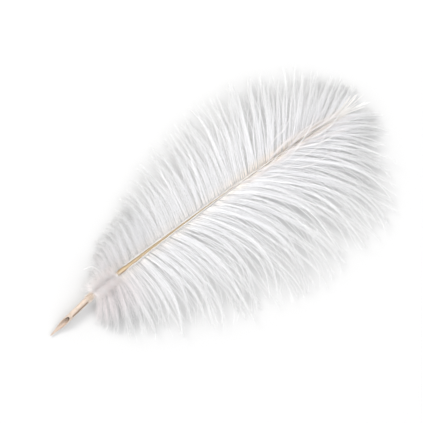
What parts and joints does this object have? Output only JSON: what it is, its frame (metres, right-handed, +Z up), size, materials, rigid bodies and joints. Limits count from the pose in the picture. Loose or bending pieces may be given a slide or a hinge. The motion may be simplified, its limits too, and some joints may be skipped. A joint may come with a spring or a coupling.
{
  "type": "quill pen",
  "caption": "Quill pen: a hand-cut nib with two flexing tines on a hollow barrel, below a loose, fluffy plume. It lies with its scoop and groove up.",
  "frame": {"origin": "middle of the pen's outline, on the table that it lies on", "axes": "+X along the barrel from the nib to the plume, +Y to the left vane, +Z up, out of the scoop and the shaft's groove"},
  "size_m": [0.2791, 0.1483, 0.0209],
  "materials": {
    "horn": "satin keratin horn, slightly translucent",
    "pith": "dry, chalky pith",
    "plume": "soft white down"
  },
  "bodies": {
    "quill": {"barrel": "horn", "pulp_caps": "pith", "shaft_horn": "horn", "shaft_pith": "pith", "left_down": "plume", "left_base_barbs": "plume", "left_lower_barbs": "plume", "left_middle_barbs": "plume", "left_upper_barbs": "plume", "left_tip_barbs": "plume", "right_down": "plume", "right_base_barbs": "plume", "right_lower_barbs": "plume", "right_middle_barbs": "plume", "right_upper_barbs": "plume", "right_tip_barbs": "plume", "tip_spray": "plume", "crossing_barbs": "plume"},
    "left_tine": {"tine_left": "horn"},
    "right_tine": {"tine_right": "horn"}
  },
  "joints": [
    {"name": "left_tine_flex", "type": "hinge", "parent": "quill", "child": "left_tine", "pos_m": [-0.13146, 0.03435, 0.00217], "axis": [0.0298, -0.9397, -0.3407], "range_deg": [0, 4], "stiffness_Nm_per_rad": 0.13},
    {"name": "right_tine_flex", "type": "hinge", "parent": "quill", "child": "right_tine", "pos_m": [-0.13146, 0.03153, 0.00217], "axis": [-0.0298, -0.9397, 0.3407], "range_deg": [0, 4], "stiffness_Nm_per_rad": 0.13}
  ]
}
